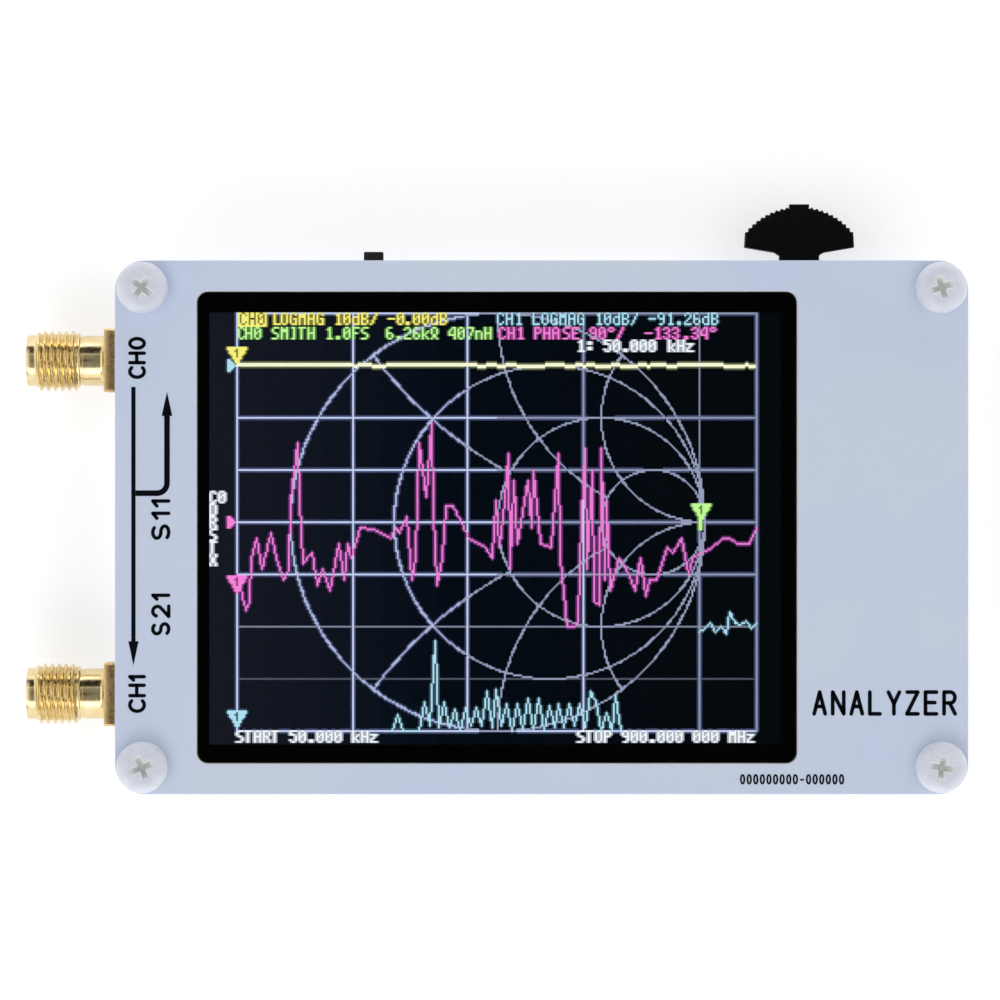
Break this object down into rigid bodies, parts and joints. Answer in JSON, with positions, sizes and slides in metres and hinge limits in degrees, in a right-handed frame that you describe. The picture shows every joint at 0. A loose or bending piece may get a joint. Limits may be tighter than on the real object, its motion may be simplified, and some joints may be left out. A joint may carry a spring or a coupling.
{
  "type": "handheld vector network analyzer",
  "caption": "Pocket radio test instrument: a touch display between white circuit-board panels on nylon pillars, with gold coaxial jacks, a jog switch and a USB socket.",
  "frame": {"origin": "under the middle of the whole instrument, on the plane of the four rear screw heads that it lies on", "axes": "+X from the coaxial jacks towards the plain end, +Y towards the edge with the jog switch, +Z out of the display"},
  "size_m": [0.0948, 0.0596, 0.0146],
  "materials": {
    "panel_mask": "satin white solder mask on glass-epoxy board",
    "board_mask": "satin white solder mask on glass-epoxy board",
    "nylon": "natural white nylon, satin",
    "gold": "polished gold plate on brass",
    "ptfe": "waxy white fluoropolymer",
    "tinned_steel": "bright tin and nickel plate",
    "black_plastic": "satin black moulding",
    "package_black": "matt black moulding compound",
    "white_plastic": "satin white moulding",
    "display_glass": "dark glass over a lit picture",
    "touch_glass": "clear glass with a black printed border",
    "amber_film": "glossy amber polyimide",
    "foam": "closed-cell foam",
    "pouch_foil": "matt laminated foil",
    "red_insulation": "satin red silicone",
    "black_insulation": "satin black silicone",
    "ferrite": "matt grey ferrite",
    "lamp_lens": "clear lens with a yellow phosphor"
  },
  "bodies": {
    "chassis": {"audio_codec": "package_black", "battery_cell": "pouch_foil", "battery_guard_board": "amber_film", "battery_lead_black": "black_insulation", "battery_lead_red": "red_insulation", "battery_plug": "white_plastic", "battery_socket": "white_plastic", "battery_tape": "white_plastic", "charger_chip": "package_black", "clock_generator": "package_black", "display_backlight": "tinned_steel", "display_cell": "display_glass", "display_flex": "amber_film", "display_foam_pad": "foam", "display_frame": "white_plastic", "front_panel": "panel_mask", "front_screw_1": "nylon", "front_screw_2": "nylon", "front_screw_3": "nylon", "front_screw_4": "nylon", "front_standoff_1": "nylon", "front_standoff_2": "nylon", "front_standoff_3": "nylon", "front_standoff_4": "nylon", "jack_0_body": "gold", "jack_0_contact": "gold", "jack_0_insulator": "ptfe", "jack_1_body": "gold", "jack_1_contact": "gold", "jack_1_insulator": "ptfe", "jog_base": "black_plastic", "jog_cover": "tinned_steel", "jog_dome": "tinned_steel", "main_board": "board_mask", "microcontroller": "package_black", "power_inductor": "ferrite", "power_switch_base": "black_plastic", "power_switch_shell": "tinned_steel", "radio_shield_1": "tinned_steel", "radio_shield_2": "tinned_steel", "radio_shield_3": "tinned_steel", "rear_panel": "panel_mask", "rear_screw_1": "nylon", "rear_screw_2": "nylon", "rear_screw_3": "nylon", "rear_screw_4": "nylon", "rear_standoff_1": "nylon", "rear_standoff_2": "nylon", "rear_standoff_3": "nylon", "rear_standoff_4": "nylon", "reference_oscillator": "tinned_steel", "status_led": "lamp_lens", "touch_flex": "amber_film", "touch_panel": "touch_glass", "usb_shell": "tinned_steel", "usb_tongue": "black_plastic"},
    "power_lever": {"power_switch_lever": "black_plastic"},
    "jog_carriage": {"jog_slider": "white_plastic", "jog_spring": "tinned_steel"},
    "jog_lever": {"jog_knob": "black_plastic"}
  },
  "joints": [
    {"name": "power_slide", "type": "slide", "parent": "chassis", "child": "power_lever", "axis": [-1, 0, 0], "range_m": [0, 0.002]},
    {"name": "jog_push", "type": "slide", "parent": "chassis", "child": "jog_carriage", "axis": [0, -1, 0], "range_m": [0, 0.0005], "stiffness_N_per_m": 1000},
    {"name": "jog_tilt", "type": "hinge", "parent": "jog_carriage", "child": "jog_lever", "pos_m": [0.03083, 0.02255, 0.0047], "axis": [0, 0, 1], "range_deg": [-12, 12], "stiffness_Nm_per_rad": 0.017}
  ]
}
